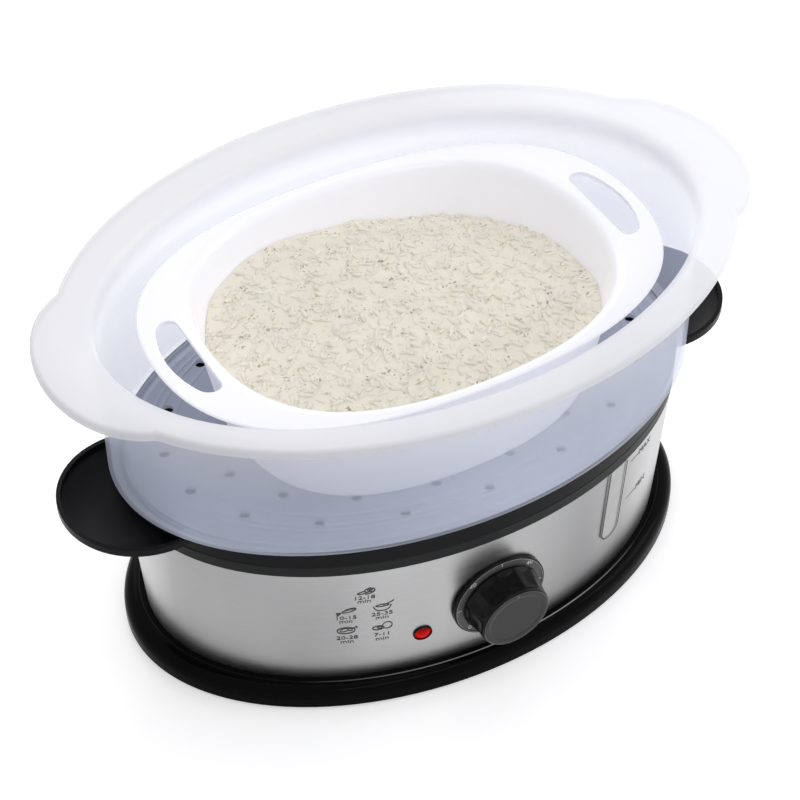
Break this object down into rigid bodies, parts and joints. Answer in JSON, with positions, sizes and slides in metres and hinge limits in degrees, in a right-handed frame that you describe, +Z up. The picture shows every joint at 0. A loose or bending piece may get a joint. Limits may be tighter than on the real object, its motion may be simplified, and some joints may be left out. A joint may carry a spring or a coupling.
{
  "type": "electric food steamer",
  "caption": "Oval countertop steamer: steel base with timer knob and water gauge, drip tray, clouded steam basket and a bowl of rice",
  "frame": {"origin": "on the table under the middle of the base", "axes": "+X along the oval's length to the right of the control side, +Y to the back, +Z up"},
  "size_m": [0.385, 0.251, 0.2037],
  "materials": {
    "black_rubber": "matt",
    "gloss_black": "polished moulding",
    "satin_black": "satin moulding",
    "zinc_steel": "bright zinc plate",
    "brushed_shell": "fine brushing along the length",
    "heater_tube": "drawn tube",
    "brass_tabs": "bare",
    "fuse_can": "bare",
    "grey_plastic": "fine grain",
    "red_lens": "clear-tinted, polished",
    "clear_window": "polished clear plastic",
    "white_plastic": "polished moulding",
    "wire_jacket": "smooth jacket",
    "clouded_plastic": "milky, lets light through",
    "rice_grain": "moist boiled grains"
  },
  "bodies": {
    "root": {"rubber_feet": "black_rubber", "base_foot": "gloss_black", "base_screws": "zinc_steel", "steel_shell": "brushed_shell", "water_reservoir": "satin_black", "heating_element": "heater_tube", "heater_gasket": "black_rubber", "heater_flange": "zinc_steel", "heater_clamp": "zinc_steel", "heater_bolt": "zinc_steel", "heater_nut": "zinc_steel", "heater_terminals": "brass_tabs", "thermostat": "grey_plastic", "thermostat_clip": "zinc_steel", "thermal_fuse": "fuse_can", "fuse_clip": "zinc_steel", "dial_plate": "grey_plastic", "timer_body": "grey_plastic", "timer_bell": "zinc_steel", "timer_screws": "zinc_steel", "lamp_bezel": "gloss_black", "lamp_lens": "red_lens", "lamp_body": "satin_black", "gauge_window": "clear_window", "cord_gland": "satin_black", "gland_nut": "satin_black", "terminal_block": "white_plastic", "inner_wires": "wire_jacket"},
    "timer_knob": {"timer_knob": "satin_black", "timer_shaft": "zinc_steel", "knob_spring": "zinc_steel"},
    "steam_ring": {"steam_ring": "satin_black"},
    "drip_tray": {"drip_tray": "gloss_black"},
    "steam_basket": {"steam_basket": "clouded_plastic"},
    "rice_bowl": {"rice_bowl": "white_plastic", "cooked_rice": "rice_grain"}
  },
  "joints": [
    {"name": "timer_turn", "type": "hinge", "parent": "root", "child": "timer_knob", "pos_m": [-0.0025, -0.10117, 0.052], "axis": [-0.011, -0.9983, -0.0571], "range_deg": [-135, 135]},
    {"name": "ring_lift", "type": "slide", "parent": "root", "child": "steam_ring", "axis": [0, 0, 1], "range_m": [0, 0.01]},
    {"name": "tray_lift", "type": "slide", "parent": "root", "child": "drip_tray", "axis": [0, 0, 1], "range_m": [0, 0.1]},
    {"name": "basket_lift", "type": "slide", "parent": "drip_tray", "child": "steam_basket", "axis": [0, 0, 1], "range_m": [0, 0.1]},
    {"name": "bowl_lift", "type": "slide", "parent": "steam_basket", "child": "rice_bowl", "axis": [0, 0, 1], "range_m": [0, 0.1]}
  ]
}
